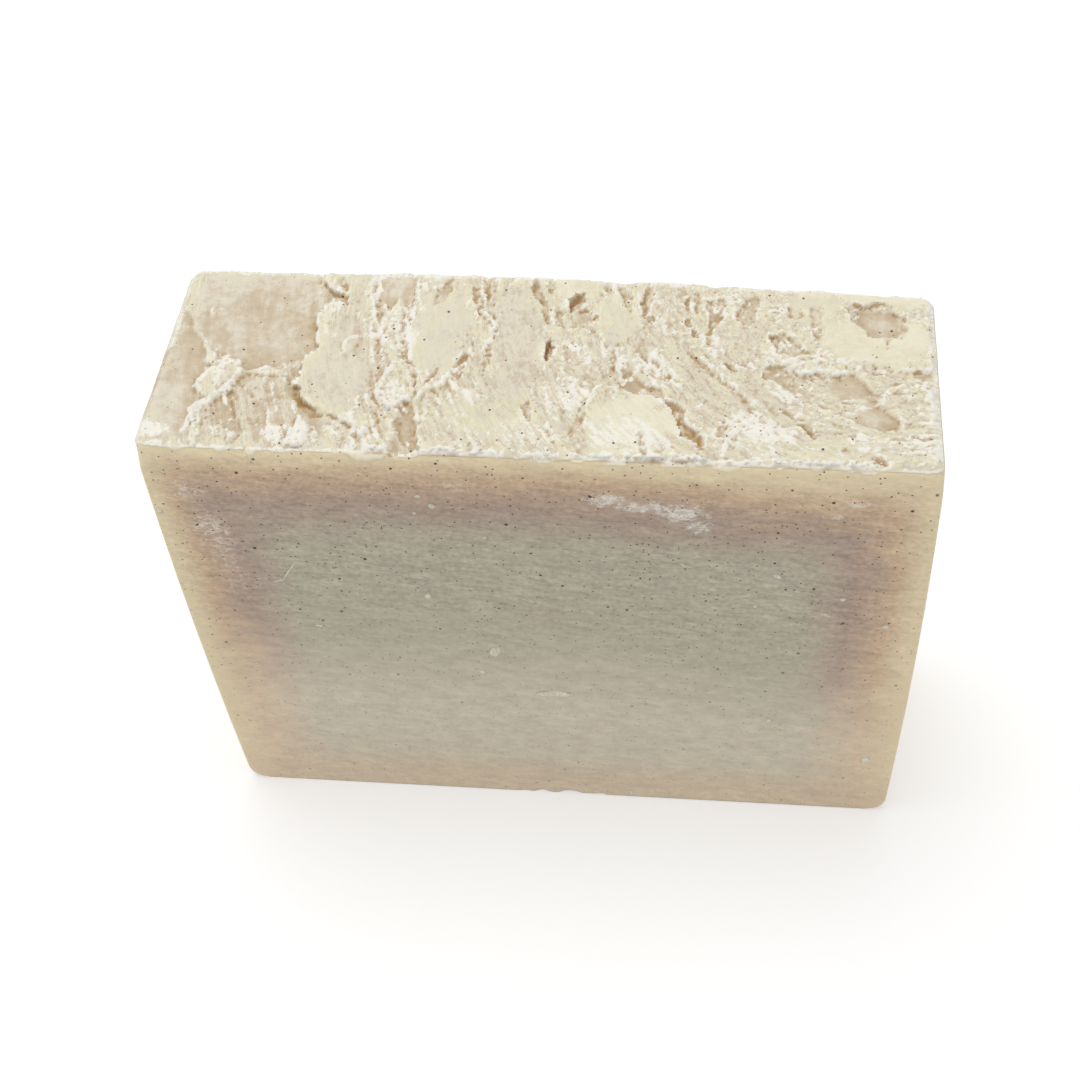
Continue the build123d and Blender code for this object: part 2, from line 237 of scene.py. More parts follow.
# Where the crust has more white ash, or less: middle, reach along X and Y, and how much more
ashy_places = (
    ((9.8, -10.0), (4.6, 2.6), 0.38), ((-1.0, -10.5), (5.0, 2.4), 0.38), ((3.0, -5.0), (3.5, 3.0), 0.3),
    ((22.0, -10.0), (5.0, 2.8), 0.32), ((38.5, 12.6), (3.6, 1.3), 0.45), ((-15.2, -5.2), (2.0, 2.8), 0.45),
    ((5.0, 0.8), (3.8, 3.0), 0.2), ((-14.5, 2.5), (1.6, 2.4), 0.3), ((28.5, 0.2), (6.0, 1.4), 0.3),
    ((-28.0, -7.0), (7.0, 4.0), -0.3), ((-38.5, -4.0), (3.0, 9.0), -0.3), ((27.0, -2.5), (4.0, 2.5), 0.12),
    ((13.0, 8.0), (2.4, 3.6), 0.2), ((-39.6, -11.4), (2.4, 1.5), 0.6), ((-26.0, -11.2), (6.0, 1.6), 0.38),
)

# The point that the streaks of the crust circle around, and the radius at which they keep their length
streak_centre = (38.0, 14.0)
streak_radius = 30.0

# Torn edges that curl up: points along the edge, its height, and how white it is
lips = {
    "curled flake": (
        [(-36.7, -5.2), (-35.2, -2.2), (-33.2, -1.3), (-32.3, -2.6), (-33.0, -4.4), (-34.0, -6.0),
         (-36.5, -8.7)], 0.32, 1.0),
    "front of the curled flake": ([(-36.6, -11.5), (-36.3, -9.5), (-34.7, -7.0), (-33.2, -5.2)], 0.22, 0.7),
    "left pan": ([(-41.0, 7.5), (-39.5, 6.0), (-38.0, 3.0), (-36.5, 0.5), (-35.3, -2.0)], 0.1, 0.1),
    "front of the left pan": ([(-35.0, -1.2), (-31.8, -2.4), (-29.5, -1.6), (-27.0, -3.4)], 0.12, 0.6),
    "white flake": ([(-15.2, -0.8), (-16.6, -3.0), (-17.3, -5.4), (-15.4, -7.9), (-13.3, -6.4)], 0.2, 0.9),
    "flakes of the large plate": (
        [(-21.8, 0.2), (-21.6, 2.0), (-19.6, 3.4), (-17.6, 3.0), (-16.4, 1.2)], 0.22, 0.8),
    "left of the tongue": (
        [(-15.1, 8.0), (-15.2, 3.4), (-14.1, -0.6), (-13.1, -2.8), (-12.5, -6.7)], 0.12, 0.1),
    "right of the tongue": (
        [(-7.2, 7.2), (-5.5, 4.6), (-5.7, 2.6), (-7.2, 0.8), (-8.8, -1.6), (-11.4, -4.8)], 0.24, 0.7),
    "arrow plate": (
        [(5.1, 4.6), (5.1, 6.8), (5.8, 9.6), (6.8, 11.2), (8.3, 9.8), (8.8, 7.9), (10.4, 6.0)], 0.1, 0.1),
    "front plate": (
        [(4.4, -9.5), (5.2, -5.4), (6.2, -3.6), (8.4, -3.4), (9.8, -4.6), (13.3, -5.1), (14.7, -8.4),
         (17.2, -11.8)], 0.12, 0.2),
    "above the centre pan": ([(8.3, 0.4), (8.6, -2.8), (10.2, -1.0), (12.2, 1.2)], 0.15, 0.7),
    "ledge": ([(22.6, 1.2), (26.0, 1.1), (30.5, 1.3), (34.5, 1.8), (36.0, 0.2), (41.0, 0.6)], 0.15, 0.5),
    "end flake": ([(35.4, -4.4), (36.2, -2.4), (38.4, -1.8), (40.4, -2.4)], 0.18, 0.8),
    "right of the scar": ([(16.6, 1.8), (20.2, -2.4), (24.8, -8.2), (27.0, -11.0)], 0.16, 0.3),
    "front flakes": ([(19.4, -12.4), (20.6, -9.0), (22.6, -6.8), (23.2, -8.6), (26.4, -9.0)], 0.2, 0.9),
}
# How far from its line a lip sinks to a third of its height
lip_reach = 0.32

# The ragged rim along the front: how far behind the edge it stands, and where it sinks to a third
rim_inset = 0.42
rim_reach = 0.36

# The long scar, which has nearly closed
scar = [(15.6, 1.6), (19.2, -2.2), (24.0, -8.4)]

# Tears left of this place are steep on their right side, and the others on their left side
lean_side = -10.0

# How many cells the floor of a tear climbs over, and how many towards the front for each of them
climb_cells = 10
climb_slant = 0.6

# Depths between which a tear becomes a pit, which keeps its own floor
pit_depths = (0.82, 0.93)


class Crust:
    """The relief of the torn crust over a grid of places, in millimetres."""

    def __init__(self, x, y, tree, sizes):
        self.x, self.y = x, y
        self.sizes = {name: getattr(sizes, name) / MM for name in sizes.__annotations__}
        self.from_front, self.from_back = y - y.min(axis=0), y.max(axis=0) - y
        # The relief fades close to the edges, and the back edge swells and sags instead
        from_edge = np.minimum(edge_distance(x), np.minimum(self.from_front, self.from_back))
        self.inland = smooth(0.1, 0.9, from_edge)
        self.back = smooth(2.5, 0.3, self.from_back) * smooth(0.5, 3.0, edge_distance(x))
        self.solid = self.read_solid(tree)
        self.calm, self.tone, self.ashy = self.read_places()
        self.build()

    def read_solid(self, tree):
        """Heights of the solid at each place, with its edges torn and its pits no deeper than need be."""
        x, y = self.x, self.y
        cell = x[0, 1] - x[0, 0]
        tear = self.sizes["tear"] * self.inland
        near_x, near_y = (
            places + tear * (field(x, y, 1.5, coarse, 3) + 0.25 * field(x, y, 0.5, fine))
            for places, coarse, fine in ((x, 3.1, 5.2), (y, 8.7, 9.4))
        )
        above = cad_bounds[1][2] + 0.01
        down = Vector((0, 0, -1))
        # Each height is the mean of four, one in each quarter of the cell around its place
        quarter = 0.4 * cell * self.inland
        heights = np.zeros(x.shape)
        for side_x, side_y in ((-1, -1), (1, -1), (-1, 1), (1, 1)):
            hits = [
                tree.ray_cast(Vector((a * MM, b * MM, above)), down)[0]
                for a, b in zip((near_x + side_x * quarter).flat, (near_y + side_y * quarter).flat)
            ]
            if None in hits:
                raise RuntimeError(f"{hits.count(None)} places of the skin miss the solid")
            heights += np.array([hit.z / MM for hit in hits]).reshape(x.shape) / 4
        usual = np.polyval(np.polyfit(x[0], np.median(heights, axis=0), 1), x)
        pit = self.sizes["pit"]
        level = heights - usual
        level = np.where(level < 0, pit * np.tanh(level / pit), level)

        # Only one side of a tear is steep, below the flake that lifted. The floor climbs to the other side
        slope = np.clip(0.75 + 0.6 * field(x, y, 2.2, 15.1, 2), 0.35, 1.3)
        climbed = level.copy()
        for step in range(1, climb_cells + 1):
            aside = round(climb_slant * step)
            fall = slope * cell * math.hypot(step, aside)
            behind = np.pad(level, ((aside, 0), (0, 0)), mode="edge")[:level.shape[0]]
            from_right = np.pad(behind, ((0, 0), (0, step)), mode="edge")[:, step:]
            from_left = np.pad(behind, ((0, 0), (step, 0)), mode="edge")[:, :-step]
            climbed = np.maximum(climbed, np.where(x < lean_side, from_left, from_right) - fall)
        deep = smooth(*pit_depths, -level)
        level = climbed * (1 - deep) + level * deep

        # Crumbs fill parts of the narrow cracks, and most of the scar
        around = blurred(level, 4)
        narrow = smooth(0.08, 0.3, around - level) * (1 - deep)
        filled = 0.5 + 0.9 * field(x, y, 1.4, 17.1, 2)
        filled += 0.5 * smooth(1.5, 0.8, distance_to_line(x, y, scar))
        self.level = level + (around - level) * narrow * np.clip(filled, 0, 0.9)
        return usual + self.level

    def read_places(self):
        """How smooth each place is, its tone, and how much more ash it has than elsewhere."""
        x, y = self.x, self.y
        wobble = 0.35 * field(x, y, 2.5, 12.3, 3)
        calm, tone, ashy = (np.zeros_like(x) for _ in range(3))

        def away_from(middle, reach):
            return np.hypot((x - middle[0]) / reach[0], (y - middle[1]) / reach[1]) + wobble

        for middle, reach, smoothness, place_tone in crust_places.values():
            share = 1 - smooth(0.75, 1.1, away_from(middle, reach))
            calm = np.maximum(calm, smoothness * share)
            tone = tone * (1 - share) + place_tone * share
        for middle, reach, amount in ashy_places:
            ashy += amount * (1 - smooth(0.5, 1.2, away_from(middle, reach)))
        return calm, tone, ashy

    def build(self):
        """Adds the fine relief to the heights of the solid, and marks what its parts look like."""
        x, y, sizes, inland = self.x, self.y, self.sizes, self.inland
        across = np.hypot(x - streak_centre[0], y - streak_centre[1])
        along = np.arctan2(y - streak_centre[1], x - streak_centre[0]) * streak_radius
        rough = (1 - self.calm) * inland

        # Flakes lie over each other like shingles, each steep at its torn edge
        layers = 2.6 * field(across, along, (3.0, 6.5), 21.5, 4) + 0.5 * field(x, y, 0.8, 22.5, 2)
        share = layers - np.floor(layers)
        flakes = sizes["flake"] * (0.35 * layers + smooth(0.0, 0.2, share) - share)

        streaks = field(across, along, (0.5, 5.0), 31.5, 2) + 0.6 * field(across, along, (0.25, 3.0), 33.5)
        lumps = field(across, along, (0.6, 1.1), 41.5, 3)
        crumbs = sizes["crumb"] * (np.maximum(lumps - 0.1, 0) * 2 + 0.4 * lumps)
        patches = smooth(-0.3, 0.5, field(across, along, (3.0, 6.0), 51.5, 4) - 0.1)
        grain = sizes["grain"] * field(0.8 * x + 0.6 * y, 0.8 * y - 0.6 * x, 0.55, 61.5)
        swell = 0.14 * field(x, y, 4.5, 71.5, 3) * inland
        swell = swell + 0.4 * field(x, y, 3.5, 73.5, 3) * self.back

        # Lips of soap curl up along the torn edges
        lip, lip_ash = np.zeros_like(x), np.zeros_like(x)
        broken = np.clip(0.8 + 1.2 * field(x, y, 0.9, 75.5, 3), 0.15, 1.5)
        wander_x, wander_y = (0.35 * field(x, y, 1.3, seed, 3) for seed in (76.5, 77.5))
        for points, lift, white in lips.values():
            away = distance_to_line(x + wander_x, y + wander_y, points)
            share = np.exp(-((away / lip_reach) ** 2)) * broken * inland
            lip = np.maximum(lip, lift * share)
            lip_ash = np.maximum(lip_ash, white * share)

        # The cutter pushed a ragged white rim up along the front
        from_front = self.from_front
        ragged = field(x, y, (1.7, 0.9), 81.5, 4)
        fringe = field(x, y, (0.45, 0.3), 83.5, 3)
        rim = np.exp(-(((from_front - rim_inset - 0.3 * ragged) / rim_reach) ** 2))
        rim = rim * np.clip(0.35 + 0.9 * ragged + 1.5 * fringe, 0, 1.4) * smooth(0.35, 0.12, -self.level)

        self.height = (
            self.solid + swell + lip
            + rough * (flakes + crumbs * (0.25 + 0.75 * patches))
            + sizes["streak"] * streaks * (0.15 + 0.85 * rough) * inland
            + grain * (0.4 + 0.6 * rough) * inland
            + sizes["rim"] * rim
        )

        # Thin edges stand proud, and reach out over the side that they tore away from
        smoothed = blurred(self.height, 1)
        ridge = self.height - smoothed
        proud = self.height - blurred(self.height, 4)
        slope_y, slope_x = np.gradient(smoothed, y[1, 0] - y[0, 0], x[0, 1] - x[0, 0])
        steep = np.hypot(slope_x, slope_y)
        reach = sizes["overhang"] * smooth(0.02, 0.1, ridge) * smooth(0.2, 0.9, steep) * inland
        self.x = x - slope_x / np.maximum(steep, 0.01) * reach
        self.y = y - slope_y / np.maximum(steep, 0.01) * reach - 0.35 * rim * smooth(0.15, 0.5, from_front)

        border = np.minimum(edge_distance(x), self.from_back)
        # Thin edges are painted paler, partly as painted highlight
        tone = (
            self.tone + 0.6 * field(across, along, (1.1, 3.5), 91.5, 4) * (0.45 + 0.55 * rough)
            + 0.35 * field(x, y, 1.5, 93.5, 3)
            - 1.4 * np.clip(proud / 0.3, -0.8, 0.8) * (0.3 + 0.7 * inland) - 0.5 * smooth(0.02, 0.1, ridge)
        )
        # Ash is on patches of crumbs, lips, the rim, the border and the fringe of the front, and white on
        # thin edges, where it is partly ash and partly painted highlight
        ash_and_highlight = (
            smooth(0.03, 0.13, ridge) * (0.1 + 0.6 * rough) + 0.4 * rough * patches + 0.8 * lip_ash
            + 0.6 * rough * (0.3 + 0.7 * patches) * smooth(0.05, 0.5, lumps) + smooth(0.1, 0.45, rim)
            + 0.5 * (1 - smooth(0.2, 1.0, border - 0.4 * ragged)) + self.ashy
            + 0.6 * smooth(0.75, 0.15, from_front - 0.35 * ragged - 0.3 * fringe)
        )
        # Painted shade: creases that lie below their surroundings, and deep pits, are painted brown, partly
        # the soap's own warmer colour there
        crevice_brown_and_shade = 0.75 * smooth(0.045, 0.15, -ridge)
        crevice_brown_and_shade = crevice_brown_and_shade + 0.8 * smooth(0.4, 0.9, -self.level) * smooth(0.12, 0.4, -proud)
        self.marks = {
            "crust": smooth(-0.3, -0.05, from_front - 0.3 * ragged - 0.15 * fringe),
            "tone": tone,
            "ash_and_highlight": np.clip(ash_and_highlight, -0.3, 1),
            "crevice_brown_and_shade": np.clip(crevice_brown_and_shade, 0, 1) * smooth(0.5, 1.3, border),
            "rough": rough,
        }


def row_depths(height):
    """How far each row of the sides lies below the crust, closest where they curve or are scuffed."""
    near_crust = [0.12, 0.28, 0.5, 0.85, 1.3, 1.9, 2.6, 3.4, 4.2]
    scuffed = [4.75 + 0.5 * step for step in range(12)]
    middle = list(np.linspace(12.5, height - 4.6, 6))
    near_base = [height - rise for rise in (3.2, 2.0, 1.2, 0.6, 0.25, 0.05, 0.0)]
    return np.array([0.0] + near_crust + scuffed + middle + near_base)


# How far the rim of the crust lies inside the broad faces and the ends: halfway round their worn edge
edge_inset = 0.147

# How far below the crust the solid's faces are measured, and how far out, as a share of half its length
corner_depth = 2.0
probe_share = 0.7

# How many heights the ends are measured at, and the lowest of them
end_levels = 400
lowest_level = 0.004

# Below this height the skin is fitted to the round edges of the base
base_round = 3.5

# No edge is drawn sharp this close to the rim of the crust
soft_border = 1.0

# Scuffed places, in millimetres seen from the front: middle, reach along X and Z, and strength
scuffs = (
    ((7.8, 57.8), (3.6, 1.5), 1.0), ((12.0, 56.9), (5.0, 1.2), 1.0), ((15.6, 56.1), (3.8, 2.0), 1.0),
    ((17.4, 54.2), (2.6, 1.5), 0.9), ((20.5, 54.8), (1.6, 0.7), 0.5), ((31.0, 56.4), (1.8, 0.7), 0.8),
    ((33.4, 58.4), (2.4, 0.8), 0.8), ((-37.2, 57.0), (3.0, 2.8), 0.7), ((-36.2, 51.5), (3.6, 3.6), 0.75),
    ((-35.2, 45.5), (3.4, 3.8), 0.7), ((-33.8, 39.5), (3.4, 3.6), 0.66), ((-8.0, 59.0), (2.4, 1.4), 0.6),
)
# Nothing is scuffed below this height
scuffed_from = 34

# Flakes that hang over the front edge of the crust: place along it, reach to each side, and drop
hanging_flakes = ((-16.7, 1.9, 1.0), (-29.0, 0.5, 0.9), (8.6, 1.5, 0.5), (19.4, 1.2, 0.35))
# How far the crust hangs over elsewhere
usual_drop = 0.12

# Where the front edge of the base is chipped, from left to right, and how deep
chipped = (-6.0, 9.0)
chip_depth = 0.4


def add_marks(piece, marks):
    """Gives each corner of a piece the values that its material reads."""
    for name, values in marks.items():
        layer = piece.data.attributes.new(name, "FLOAT", "POINT")
        layer.data.foreach_set("value", np.zeros(len(piece.data.vertices), np.float32) + np.float32(values))


class SOAP_OT_add_bar(bpy.types.Operator):
    """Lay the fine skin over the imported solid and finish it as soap"""

    bl_idname = "soap.add_bar"
    bl_label = "Add the bar"

    def execute(self, context):
        sizes = context.scene.soap_sizes
        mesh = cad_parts[NODE].data
        tree = BVHTree.FromPolygons([v.co for v in mesh.vertices], [p.vertices for p in mesh.polygons])
        low, high = (np.array(corner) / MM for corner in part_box(NODE))

        # Where the ends and broad faces of the solid are
        def end_at(side, z):
            start = Vector((side * 2 * high[0], 0, z)) * MM
            return tree.ray_cast(start, Vector((-side, 0, 0)))[0].x / MM

        def broad_face_at(side, x):
            start = Vector((x, side * 2 * high[1], (low[2] + high[2]) / 2)) * MM
            return tree.ray_cast(start, Vector((0, -side, 0)))[0].y / MM

        probe = probe_share * high[0]
        broad_faces = [
            np.polyfit((-probe, probe), (broad_face_at(side, -probe), broad_face_at(side, probe)), 1)
            for side in (-1, 1)
        ]
        below_corner = high[2] - corner_depth
        left, right = end_at(-1, below_corner) + edge_inset, end_at(1, below_corner) - edge_inset

        cell = sizes.cell / MM
        across, along = round((right - left) / cell), round((high[1] - low[1]) / cell)
        depths = row_depths(high[2])
        piece = step_block("soap_bar_skin", across, along, len(depths) - 1)

        places = np.empty(3 * len(piece.data.vertices))
        piece.data.vertices.foreach_get("co", places)
        column, line, row = np.rint(places.reshape(-1, 3) * (1, 1, -1)).astype(int).T
        on_crust, on_front = row == 0, line == 0

        # The crust
        x, _ = np.meshgrid(np.linspace(left, right, across + 1), np.arange(along + 1.0))
        front, back = (np.polyval(face, x) for face in broad_faces)
        y = front + edge_inset + (back - front - 2 * edge_inset) * np.arange(along + 1)[:, None] / along
        crust = Crust(x, y, tree, sizes)

        # The sides follow those of the solid, down from the edge of the crust
        edge_z = crust.height[line, column]
        depth = depths[row] * edge_z / depths[-1]
        height = edge_z - depth
        levels = np.linspace(lowest_level, below_corner, end_levels)
        lefts, rights = (
            np.interp(height, levels, [end_at(side, level) for level in levels]) for side in (-1, 1)
        )
        side_x = lefts + (rights - lefts) * column / across
        fronts, backs = (np.polyval(face, side_x) for face in broad_faces)
        side_y = fronts + (backs - fronts) * line / along

        # Their upright edges are rounded, most near the crust, and the corners of the crust with them
        side_x = np.where(on_crust, crust.x[line, column], side_x)
        side_y = np.where(on_crust, crust.y[line, column], side_y)
        radius = sizes.edge / MM * (1 + 2 * smooth(4.0, 0.0, depth))
        for near_x, near_y in ((lefts, fronts), (lefts, backs), (rights, fronts), (rights, backs)):
            toward_x, toward_y = np.sign(-near_x), np.sign(-near_y)
            off_x = np.clip(1 - toward_x * (side_x - near_x) / radius, 0, 1)
            off_y = np.clip(1 - toward_y * (side_y - near_y) / radius, 0, 1)
            side_x = side_x + toward_x * radius * off_x * (1 - np.sqrt(1 - off_y ** 2 / 2))
            side_y = side_y + toward_y * radius * off_y * (1 - np.sqrt(1 - off_x ** 2 / 2))
        shape = np.column_stack((side_x, side_y, height))
        worn = np.where(on_crust, 0, edge_inset * np.clip(1 - depth / 0.4, 0, 1) ** 2)
        shape[:, 1] += np.where(on_front, worn, 0) - np.where(line == along, worn, 0)

        # Near the base they follow its round edges
        for index in np.flatnonzero((height < base_round) & ~on_crust):
            shape[index] = np.array(tree.find_nearest(Vector(shape[index]) * MM)[0]) / MM
        shape[row == len(depths) - 1, 2] = 0

        # The front edge of the base is chipped in the middle
        x, z = shape[:, 0], shape[:, 2]
        chips = smooth(-0.3, 0.6, field(x, z, (3.0, 6.0), 89.5, 2))
        chips = chips * smooth(chipped[0], chipped[0] + 2, x) * smooth(chipped[1], chipped[1] - 2, x)
        shape[:, 1] += chip_depth * chips * smooth(1.6, 0.2, height) * on_front

        # The front carries scuffed patches
        scuff, ruffle = np.zeros(len(shape)), np.zeros(len(shape))
        scuffable = np.flatnonzero(on_front & (height > scuffed_from) & ~on_crust)
        spot_x, spot_z = shape[scuffable, 0], shape[scuffable, 2]
        for (middle_x, middle_z), (reach_x, reach_z), strength in scuffs:
            away = np.hypot((spot_x - middle_x) / reach_x, (spot_z - middle_z) / reach_z)
            away += 0.35 * field(spot_x, spot_z, (0.9, 0.7), 91.5, 3)
            scuff[scuffable] = np.maximum(scuff[scuffable], strength * (1 - smooth(0.3, 1.15, away)))
        ruffle[scuffable] = 0.6 + field(spot_x, spot_z, (0.7, 0.5), 95.5, 3)
        shape[:, 1] -= sizes.scuff / MM * smooth(0.4, 1.0, scuff) * ruffle

        # White crumbs spill over the edge at the ends and the back, and flakes hang over the front
        spill = 0.6 + 0.9 * field(x + shape[:, 1], z, 1.2, 97.5, 3)
        over_edge = smooth(0.0, 0.35, spill - depth) * ~on_front
        drops = np.full(len(shape), usual_drop)
        for place, reach, drop in hanging_flakes:
            drops = np.maximum(drops, drop * np.sqrt(np.maximum(1 - ((x - place) / reach) ** 2, 0)))
        drops += 0.28 * field(x, z, 0.8, 98.5, 3) + 0.3 * field(x, z, (3.5, 8.0), 99.5, 2)
        over_front = smooth(-0.05, 0.12, drops - depth) * on_front
        shape[:, 1] -= over_front * np.where(on_crust, 0, 0.05 + 0.5 * np.minimum(depth, 1))
        piece.data.vertices.foreach_set("co", (shape * MM).ravel())
        marks = {
            "crust": 0.6 * over_edge + 0.55 * over_front,
            "rough": over_edge,
            "ash_and_highlight": 0.12 * over_edge + (0.25 + 0.3 * smooth(0.7, 0.2, depth)) * over_front,
            "tone": -0.5 * over_edge - 1.2 * over_front,
            "scuff": scuff,
        }
        for name, values in crust.marks.items():
            marks[name] = np.where(on_crust, values[line, column], marks.get(name, 0))
        add_marks(piece, marks)
        piece.data.update()

        deselect_all()
        piece.select_set(True)
        context.view_layer.objects.active = piece
        bpy.ops.object.shade_smooth_by_angle(angle=math.radians(60))
        corners = np.empty(2 * len(piece.data.edges), np.int32)
        piece.data.edges.foreach_get("vertices", corners)
        border = round(soft_border / cell)
        inner = (np.minimum(column, across - column) > border) & (np.minimum(line, along - line) > border)
        sharp = piece.data.attributes["sharp_edge"].data
        kept = np.empty(len(piece.data.edges), bool)
        sharp.foreach_get("value", kept)
        sharp.foreach_set("value", kept & inner[corners.reshape(-1, 2)].all(axis=1))
        piece.data.materials.append(cold_process_soap(context.scene.soap_colours))
        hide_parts(NODE)
        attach(piece, "root")
        return {"FINISHED"}


# Crumbs and lumps of soap on the front, in millimetres seen from the front: place along X and Z, length,
# width, and how far it is turned, in degrees
front_crumbs = (
    (-6.1, 30.5, 1.6, 1.2, 60), (-10.8, 55.8, 0.9, 0.8, 0), (-12.2, 57.3, 0.8, 0.45, 10),
    (38.0, 38.3, 0.8, 0.6, 0), (31.3, 40.0, 1.1, 0.5, -30), (33.0, 42.8, 0.7, 0.5, 0),
    (23.6, 41.0, 0.45, 0.4, 0), (16.0, 47.5, 1.3, 0.35, -20), (25.8, 46.3, 0.9, 0.5, -20),
    (26.0, 19.0, 0.8, 0.7, 0), (24.0, 18.0, 0.7, 0.6, 0), (38.0, 11.5, 1.2, 1.0, 40),
    (-8.0, 26.3, 0.7, 0.5, 0), (-5.6, 51.0, 0.6, 0.5, 0), (-26.5, 34.0, 0.9, 0.4, 0),
    (-13.0, 40.5, 0.9, 0.8, 90), (-28.2, 44.2, 5.0, 0.2, 58), (-29.8, 42.2, 1.6, 0.2, 20),
    (-41.0, 53.5, 0.9, 0.7, 90), (-3.2, 49.0, 0.3, 0.3, 0), (4.0, 49.2, 0.3, 0.25, 0),
    (-12.8, 54.6, 0.4, 0.35, 0), (9.0, 1.2, 1.0, 0.7, 0), (0.4, 22.5, 4.4, 0.9, 2),
)
# How far a crumb rises over its width, on the front and on the crust, and how white it is
front_rise, crust_rise = 0.6, 0.45
front_white, crust_white = 0.45, 0.8

# Crumbs strewn over the crust, clear of its edges: how many, and their smallest, largest and usual size
crumb_count = 90
crumb_margin = 0.8
crumb_sizes = (0.2, 0.75, 0.25)


class SOAP_OT_add_crumbs(bpy.types.Operator):
    """Stick crumbs and lumps of soap on the front and on the crust"""

    bl_idname = "soap.add_crumbs"
    bl_label = "Add the crumbs"

    def execute(self, context):
        skin = bpy.data.objects["soap_bar_skin"]
        corners = [v.co for v in skin.data.vertices]
        tree = BVHTree.FromPolygons(corners, [p.vertices for p in skin.data.polygons])
        ash_and_highlight = skin.data.attributes["ash_and_highlight"].data
        low, high = (np.array(corner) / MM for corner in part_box(NODE))

        places = []
        for x, z, length, width, turn in front_crumbs:
            hit, normal, _, _ = tree.ray_cast(Vector((x, 2 * low[1], z)) * MM, Vector((0, 1, 0)))
            places.append((hit, normal, length, width, front_rise * width, turn))
        # Most crumbs of the crust lie where there is ash
        chance = random.Random(5)
        while len(places) < len(front_crumbs) + crumb_count:
            x, y = (chance.uniform(low[axis] + crumb_margin, high[axis] - crumb_margin) for axis in (0, 1))
            size, turn = chance.triangular(*crumb_sizes), chance.uniform(0, 180)
            hit, normal, index, _ = tree.ray_cast(Vector((x, y, 2 * high[2])) * MM, Vector((0, 0, -1)))
            corner = skin.data.polygons[index].vertices[0]
            if ash_and_highlight[corner].value > chance.uniform(0.15, 0.6):
                places.append((hit, normal, size, 0.6 * size, crust_rise * size, turn))

        crumbs = []
        whiteness = []
        for number, (place, normal, length, width, rise, turn) in enumerate(places):
            deselect_all()
            bpy.ops.mesh.primitive_ico_sphere_add(subdivisions=2 if length < 1 else 3, radius=1)
            crumb = context.object
            for corner in crumb.data.vertices:
                corner.co *= 1 + 0.5 * noise.fractal(corner.co * 1.1 + Vector((number, 0, 0)), 1, 2, 3)
            aimed = normal.to_track_quat("Z", "Y").to_matrix().to_4x4()
            turned = Matrix.Rotation(math.radians(turn), 4, "Z")
            sized = Matrix.Diagonal((length / 2 * MM, width / 2 * MM, rise / 2 * MM, 1))
            crumb.data.transform(Matrix.Translation(place) @ aimed @ turned @ sized)
            crumbs.append(crumb)
            white = front_white if number < len(front_crumbs) else crust_white
            whiteness += [white] * len(crumb.data.vertices)
        deselect_all()
        for crumb in crumbs:
            crumb.select_set(True)
        context.view_layer.objects.active = crumbs[0]
        bpy.ops.object.join()
        piece = context.object
        piece.name = piece.data.name = "soap_crumbs"
        add_marks(piece, {
            "crust": 1.0, "ash_and_highlight": whiteness, "tone": -0.3, "rough": 1.0, "crevice_brown_and_shade": 0.0, "scuff": 0.0,
        })
        bpy.ops.object.shade_smooth()
        piece.data.materials.append(skin.data.materials[0])
        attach(piece, "root")
        return {"FINISHED"}


def feed(tree, node, inputs):
    """Gives a node its inputs as values or links, in order, or by name or number."""
    for name, value in inputs.items() if isinstance(inputs, dict) else enumerate(inputs):
        if isinstance(value, bpy.types.NodeSocket):
            tree.links.new(value, node.inputs[name])
        else:
            node.inputs[name].default_value = value


def add_node(tree, kind, inputs=(), operation=None, output=0, stops=(), **settings):
    """Adds a shader node with its settings, inputs and links, and the stops of a ramp. Returns one output.

    Inputs 0 to 2 are the terms of a sum or product. Those of a Map Range are its value, the two ends of its
    range, and what it gives for each.
    """
    node = tree.nodes.new("ShaderNode" + kind)
    if operation:
        node.operation = operation
    for name, value in settings.items():
        setattr(node, name, value)
    feed(tree, node, inputs)
    for _ in stops[2:]:
        node.color_ramp.elements.new(1)
    for number, stop in enumerate(stops):
        element = node.color_ramp.elements[number]
        element.position, element.color = stop
    return node.outputs[output]


def new_material(name):
    """A material, its shader, and what gives the shader its inputs and adds nodes."""
    material = bpy.data.materials.new(name)
    material.use_nodes = True
    tree = material.node_tree
    return material, partial(feed, tree, tree.nodes["Principled BSDF"]), partial(add_node, tree)


# The inputs and the output of a Mix node for its two colours and their mixture
FIRST, SECOND, MIXTURE = 6, 7, 2

# A Map Range with soft ends
SOFT = {"interpolation_type": "SMOOTHSTEP"}


def thin_lines(add, pattern, level, width, strongest, elsewhere):
    """Lines where a pattern crosses a level: strongest there, and gone where it is off by the width."""
    away = add("Math", (pattern, level), "SUBTRACT")
    away = add("Math", {0: away}, "ABSOLUTE")
    return add("MapRange", (away, 0.0, width, strongest, elsewhere))


# Specks: the spacing of their places and their largest width, in millimetres, and the share of places taken
speck_kinds = ((1.4, 0.27, 0.9), (0.8, 0.15, 0.6))


def speck_share(add, places, on_crust, spacing, size, share):
    """How far each place is covered by specks, which are scattered all through the soap."""
    cells = add("TexVoronoi", {"Vector": places, "Scale": 1 / spacing}, output="Distance")
    chance = add("SeparateColor", {0: cells.node.outputs["Color"]}).node.outputs
    there = add("Math", (chance[0], share), "LESS_THAN")
    radius = add("Math", (chance[1], 0.6 * size / spacing, 0.4 * size / spacing), "MULTIPLY_ADD")
    # Dried soap hides the rims of those in the crust
    shown = add("MapRange", {0: on_crust, 3: 1.0, 4: 0.64})
    radius = add("Math", (radius, shown), "MULTIPLY")
    near = add("Math", (radius, cells), "SUBTRACT")
    # Their edges are 0.04 mm wide
    soft = add("Math", (near, 25.0 * spacing), "MULTIPLY", use_clamp=True)
    return add("Math", (soft, there), "MULTIPLY")


# How high most of the crust lies, and how deep the gel's colours go, in millimetres
usual_crust = cad_bounds[1][2] / MM - 0.6
gelled_depth = 20.0


